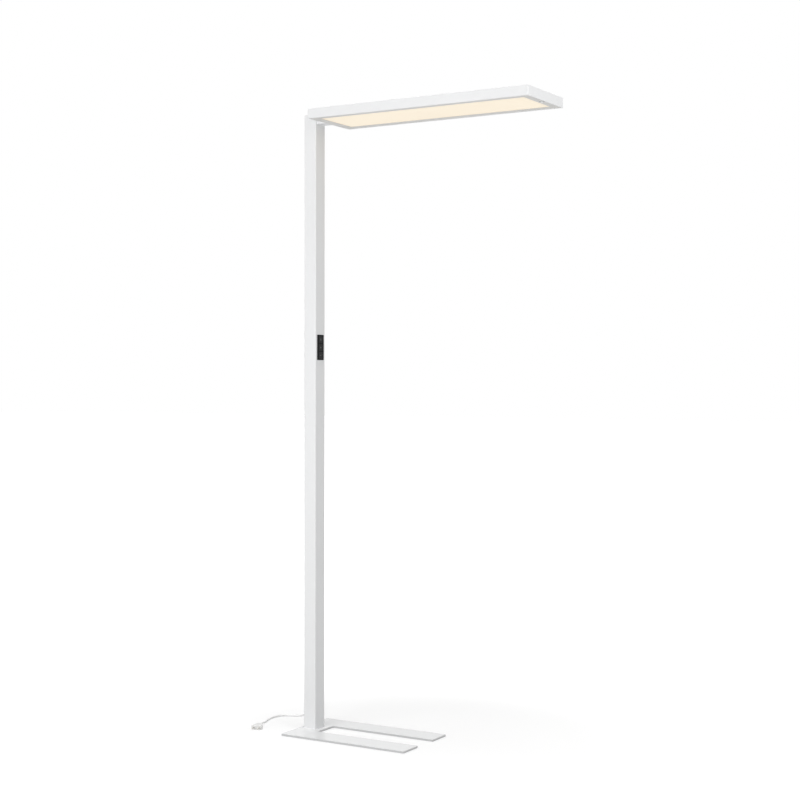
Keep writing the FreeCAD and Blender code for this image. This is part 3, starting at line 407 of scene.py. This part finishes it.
def dress_cad_nodes():
    """Give every carried CAD node the finish of its slot."""
    for part in frame["record"]["subparts"]:
        node = frame["nodes"][part["node"]]
        for place in node.material_slots:
            place.material = FINISHES[part["material_slot"]]


# ---------------------------------------------------------------- the three marks on the keys, in millimetres
HALF_PEN = 0.4
RING_RADIUS = 2.7
RING_FROM, RING_TO = math.radians(125.0), math.radians(415.0)
STEM_MIDDLE, STEM_REACH = Vector((0.0, 2.0)), 1.4
BAR_REACH = 2.8
MARK_SUNK, MARK_THICKNESS = 0.05, 0.11
RING_STEPS = 28
CAP_STEPS = 8
RIGHT_ANGLE = math.pi / 2


def facing(angle):
    """The unit vector at an angle."""
    return Vector((math.cos(angle), math.sin(angle)))


def round_end(centre, turn):
    """Half a circle about the end of a stroke, from its left side round to its right side."""
    angles = [turn + RIGHT_ANGLE - k * math.pi / CAP_STEPS for k in range(CAP_STEPS + 1)]
    return [centre + facing(a) * HALF_PEN for a in angles]


def bar(reach, turn, middle):
    """The outline of a straight stroke with round ends."""
    return [
        *round_end(middle + facing(turn) * reach, turn),
        *round_end(middle - facing(turn) * reach, turn + math.pi),
    ]


def cross(reach):
    """The outline of a plus with round ends, gone round clockwise."""
    outline = []
    for turn in (RIGHT_ANGLE, 0.0, -RIGHT_ANGLE, math.pi):
        outline += round_end(facing(turn) * reach, turn)
        outline.append((facing(turn) + facing(turn - RIGHT_ANGLE)) * HALF_PEN)
    return outline


def open_ring(radius, first, last):
    """The outline of a ring with a gap and round ends."""
    angles = [first + (last - first) * k / RING_STEPS for k in range(RING_STEPS + 1)]
    outer = [facing(a) * (radius + HALF_PEN) for a in angles[1:-1]]
    inner = [facing(a) * (radius - HALF_PEN) for a in angles[-2:0:-1]]
    end_cap = round_end(facing(last) * radius, last + RIGHT_ANGLE)[::-1]
    start_cap = round_end(facing(first) * radius, first - RIGHT_ANGLE)[::-1]
    return outer + end_cap + inner + start_cap


def key_mark(name, key, outlines):
    """A thin raised mark on the front of a key; its outlines are drawn about the key's centre."""
    low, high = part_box(key)
    face_x = high[0] - MARK_SUNK * MM
    centre_y, centre_z = (low[1] + high[1]) / 2, (low[2] + high[2]) / 2
    mesh = bmesh.new()
    for outline in outlines:
        ring = [mesh.verts.new((face_x, centre_y + p.x * MM, centre_z + p.y * MM)) for p in outline]
        raised = bmesh.ops.extrude_face_region(mesh, geom=[mesh.faces.new(ring)])
        for item in raised["geom"]:
            if isinstance(item, bmesh.types.BMVert):
                item.co.x += MARK_THICKNESS * MM
    bmesh.ops.recalc_face_normals(mesh, faces=mesh.faces)
    data = bpy.data.meshes.new(name)
    mesh.to_mesh(data)
    mesh.free()
    data.materials.append(MARK_PAINT)
    mark = add_object(name, data)
    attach(mark, key)


def key_marks():
    """Power on the top key, plus on the middle one, minus on the lowest."""
    ring = open_ring(RING_RADIUS, RING_FROM, RING_TO)
    stem = bar(STEM_REACH, RIGHT_ANGLE, STEM_MIDDLE)
    key_mark("power_mark", "key_power", [ring, stem])
    key_mark("plus_mark", "key_brighter", [cross(BAR_REACH)])
    key_mark("minus_mark", "key_dimmer", [bar(BAR_REACH, 0.0, Vector((0.0, 0.0)))])


# ---------------------------------------------------------------- the mains cord, in millimetres
CORD_RADIUS = 2.8
POST_BACK = -408.0
STRAIN_TIP = Vector((-397.0, 50.0, 30.0))
LOW_LAYER, HIGH_LAYER = 3.8, 9.9
HANK_ANGLE = math.radians(124.0)
HANK_ALONG = Vector((math.cos(HANK_ANGLE), math.sin(HANK_ANGLE), 0))
HANK_LEFT = Vector((-math.sin(HANK_ANGLE), math.cos(HANK_ANGLE), 0))
HANK_START = Vector((-386.0, 0, 0)) + 263.0 * HANK_ALONG
LANES = [15.15 + 3.3 * k for k in (4, 3, 2, 1, 0, 1, 2, 3)]  # how far each run is from the hank's middle line
RUNS_PER_LAYER = 4
RUN = 112.0
DRAWN_IN = 8.0
# how far along a run its points are, and how far in towards the middle line the tie draws them
STATIONS = [(15.4, 0.0), (34.6, DRAWN_IN), (56.0, DRAWN_IN), (77.4, DRAWN_IN), (96.6, 0.0)]
CLIMB = (0, 0, 0.5, 1, 1)  # how far up to the high layer its first run has come at each station
FOLD_POINTS = 4
FOLD_STEP = 45.0  # degrees from each point of a fold to the next
FOLD_START = FOLD_STEP / 2
LEAVES_HANK_AT = -6.0
STEP = 14.8
# how far the cord drops in each step out of the hank, and how many degrees it then turns
MOVES = ((0.0, 3.0), (2.3, -5.0), (2.6, -23.0), (1.6, -24.5), (0.5, -24.5), (0.0, -24.5), (0.0, 0.0))
FLOOR_HEIGHT = CORD_RADIUS + 0.1
PLUG_HEIGHT = 6.9
# the rest of the route in plan: x from the back of the post, and y
ON_FLOOR = (
    (-158.3, 113.0),
    (-171.4, 104.2),
    (-180.2, 89.4),
    (-183.6, 68.2),
    (-181.0, 40.6),
    (-172.8, 13.6),
    (-163.6, -11.0),
)
INTO_PLUG = ((-155.66, -33.09), (-149.5, -50.0))


def hank_place(along, left, z):
    """A place in the hank, along and to the left of its middle line."""
    return HANK_START + HANK_ALONG * along + HANK_LEFT * left + Vector((0, 0, z))


def cord_from_post():
    """Out of the strain relief, over the back of the foot and down to the floor."""
    lane = -LANES[0]
    return [
        STRAIN_TIP,
        STRAIN_TIP + Vector((0, 12.0, 0)),
        STRAIN_TIP + Vector((-3.4, 24.2, -2.4)),
        hank_place(-174.0, lane - 0.4, 24.0),
        hank_place(-149.0, lane + 0.3, 17.2),
        hank_place(-120.0, lane + 1.2, 8.8),
        hank_place(-92.0, lane + 0.9, 4.3),
        hank_place(-64.0, lane + 0.3, 3.9),
        hank_place(-35.0, lane, LOW_LAYER),
        hank_place(LEAVES_HANK_AT, lane, LOW_LAYER),
    ]


def hank_run(k, outward, side):
    """One run of the hank: from its start to its end, or back."""
    layer = LOW_LAYER if k < RUNS_PER_LAYER else HIGH_LAYER
    points = []
    for (along, drawn), climbed in zip(STATIONS, CLIMB):
        z = LOW_LAYER + (HIGH_LAYER - LOW_LAYER) * climbed if k == RUNS_PER_LAYER else layer
        points.append(hank_place(along if outward else RUN - along, side * (LANES[k] - drawn), z))
    return points


def hank_fold(k, outward, side):
    """The half circle after a run, round to the next run on the other side."""
    radius, middle = (LANES[k] + LANES[k + 1]) / 2, side * (LANES[k] - LANES[k + 1]) / 2
    reach = radius / math.cos(math.radians(FOLD_START))
    z = HIGH_LAYER if k >= RUNS_PER_LAYER else LOW_LAYER
    points = []
    for n in range(FOLD_POINTS):
        angle = math.radians(FOLD_START + FOLD_STEP * n)
        end = RUN + reach * math.sin(angle) if outward else -reach * math.sin(angle)
        points.append(hank_place(end, middle + side * reach * math.cos(angle), z))
    return points


def cord_in_hank():
    """Eight runs in two layers, drawn in at the tie, with seven folds between them."""
    points = []
    for k in range(len(LANES)):
        outward = k % 2 == 0
        side = -1 if outward else 1
        points += hank_run(k, outward, side)
        if k < len(LANES) - 1:
            points += hank_fold(k, outward, side)
    return points


def cord_to_plug():
    """From the hank round behind the lamp, down to the floor and forward to the plug."""
    points = [hank_place(LEAVES_HANK_AT, LANES[-1], HIGH_LAYER)]
    heading = -HANK_ALONG
    height = HIGH_LAYER
    for drop, turn in MOVES:
        height -= drop
        place = points[-1] + heading * STEP
        points.append(Vector((place.x, place.y, height)))
        heading = Matrix.Rotation(math.radians(turn), 3, "Z") @ heading
    points += [Vector((POST_BACK + x, y, FLOOR_HEIGHT)) for x, y in ON_FLOOR]
    points += [Vector((POST_BACK + x, y, PLUG_HEIGHT)) for x, y in INTO_PLUG]
    return points


def mains_cord():
    """The whole free cord, as one smooth line with a round section."""
    route = cord_from_post() + cord_in_hank() + cord_to_plug()
    line = bpy.data.curves.new("mains_cord", "CURVE")
    line.dimensions = "3D"
    spline = line.splines.new("NURBS")
    spline.points.add(len(route) - 1)
    for point, place in zip(spline.points, route):
        point.co = (*(place * MM), 1.0)
    spline.order_u = 3
    spline.use_endpoint_u = True
    spline.resolution_u = 8
    line.bevel_depth = CORD_RADIUS * MM
    line.bevel_resolution = 5
    line.use_fill_caps = True
    line.materials.append(FINISHES["white_cord"])
    cord = add_object("mains_cord", line)
    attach(cord, "lamp")
    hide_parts("cord_to_hank", "cord_hank", "cord_to_plug")


# ---------------------------------------------------------------- studio, in metres
WHITE = (1.0, 1.0, 1.0, 1)
ROOM_LIGHT = 0.25
FLOOR_COLOUR = (0.70, 0.70, 0.70, 1)
FLOOR_WHITENESS = 0.60  # how white the floor looks by the lamp before any light falls on it
FLOOR_SHADOW = 0.61  # how much of the light and shadow that fall on the floor is seen
SHADOW_REACH, WHITE_BEYOND = 0.5, 1.5  # the floor turns even white between these distances
FLOOR_HALF = 40.0
FLOOR_Z = -0.3 * MM
# name, place, what it is turned to, width and watts
SOFTBOXES = (
    ("front_softbox", (-0.9, -3.6, 1.55), (-0.3, 0, 1.45), 2.4, 68.0),
    ("side_softbox", (2.4, -0.5, 2.15), (-0.35, 0, 2.2), 1.6, 30.0),
    ("top_softbox", (0.9, -1.5, 13.2), (0, 0, 0), 6.0, 915.0),
)
CAMERA_PLACE = (2.320708, -3.996406, 1.100127)
CAMERA_YAW, CAMERA_PITCH, CAMERA_ROLL = (math.radians(a) for a in (30.879, -0.6, 0.09))
CAMERA_SENSOR, CAMERA_LENS = 36.0, 68.21


def seen_directly(tree):
    """1 for a ray from the camera, a reflection or a clear material, and 0 for the rays that light things."""
    path = tree.nodes.new("ShaderNodeLightPath")
    rays = calc(tree, path.outputs["Is Camera Ray"], "MAXIMUM", path.outputs["Is Glossy Ray"])
    return calc(tree, rays, "MAXIMUM", path.outputs["Is Transmission Ray"])


def studio_world():
    """Soft even light from all round, in front of a white background."""
    world = bpy.data.worlds.new("studio")
    bpy.context.scene.world = world
    world.use_nodes = True
    tree = world.node_tree
    background = tree.nodes["Background"]
    background.inputs["Color"].default_value = WHITE
    lift = calc(tree, seen_directly(tree), "MULTIPLY", 1.0 - ROOM_LIGHT)
    tree.links.new(calc(tree, lift, "ADD", ROOM_LIGHT), background.inputs["Strength"])


def floor_material():
    """White that shows a soft shadow near the lamp and turns even white further off."""
    material = bpy.data.materials.new("plain white floor")
    material.use_nodes = True
    tree = material.node_tree
    tree.nodes.remove(tree.nodes["Principled BSDF"])
    seen = seen_directly(tree)
    matt = tree.nodes.new("ShaderNodeBsdfDiffuse")
    tone = calc(tree, seen, "MULTIPLY", 1.0 - FLOOR_SHADOW)
    tree.links.new(shade(tree, FLOOR_COLOUR, tone), matt.inputs["Color"])
    distance = tree.nodes.new("ShaderNodeVectorMath")
    distance.operation = "LENGTH"
    tree.links.new(own_place(tree), distance.inputs[0])
    far = tree.nodes.new("ShaderNodeMapRange")
    far.interpolation_type = "SMOOTHSTEP"
    far.inputs["From Min"].default_value = SHADOW_REACH
    far.inputs["From Max"].default_value = WHITE_BEYOND
    far.inputs["To Min"].default_value = FLOOR_WHITENESS
    far.inputs["To Max"].default_value = 1.0
    tree.links.new(distance.outputs["Value"], far.inputs["Value"])
    white = tree.nodes.new("ShaderNodeEmission")
    tree.links.new(calc(tree, seen, "MULTIPLY", far.outputs["Result"]), white.inputs["Strength"])
    both = tree.nodes.new("ShaderNodeAddShader")
    tree.links.new(matt.outputs[0], both.inputs[0])
    tree.links.new(white.outputs[0], both.inputs[1])
    tree.links.new(both.outputs[0], tree.nodes["Material Output"].inputs["Surface"])
    return material


def studio_floor():
    """One flat square under the lamp's pads."""
    mesh = bpy.data.meshes.new("studio_floor")
    signs = ((-1, -1), (1, -1), (1, 1), (-1, 1))
    corners = [(x * FLOOR_HALF, y * FLOOR_HALF, FLOOR_Z) for x, y in signs]
    mesh.from_pydata(corners, [], [(0, 1, 2, 3)])
    mesh.materials.append(floor_material())
    add_object("studio_floor", mesh)


def softbox(name, place, aim, size, watts):
    """A large soft studio lamp, turned to its aim."""
    lamp = bpy.data.lights.new(name, "AREA")
    lamp.shape = "SQUARE"
    lamp.size = size
    lamp.energy = watts
    lamp.color = WHITE[:3]
    holder = add_object(name, lamp)
    holder.location = place
    holder.rotation_mode = "QUATERNION"
    holder.rotation_quaternion = (Vector(aim) - Vector(place)).to_track_quat("-Z", "Y")


def studio_camera():
    """The camera at the photograph's place: 31 degrees round to the right, at about the lamp's mid height."""
    camera = bpy.data.cameras.new("photo_camera")
    camera.sensor_width = CAMERA_SENSOR
    camera.lens = CAMERA_LENS
    camera.clip_start, camera.clip_end = 0.05, 200.0
    holder = add_object("photo_camera", camera)
    turn = Matrix.Rotation(CAMERA_YAW, 4, "Z")
    turn = turn @ Matrix.Rotation(RIGHT_ANGLE + CAMERA_PITCH, 4, "X")
    turn = turn @ Matrix.Rotation(CAMERA_ROLL, 4, "Z")
    holder.matrix_world = Matrix.Translation(CAMERA_PLACE) @ turn
    bpy.context.scene.camera = holder


def build():
    """Dress the lamp, add its marks and its cord, and set up the studio."""
    dress_cad_nodes()
    key_marks()
    mains_cord()
    studio_world()
    studio_floor()
    for values in SOFTBOXES:
        softbox(*values)
    studio_camera()
    bpy.context.scene.view_settings.view_transform = "Standard"


build()
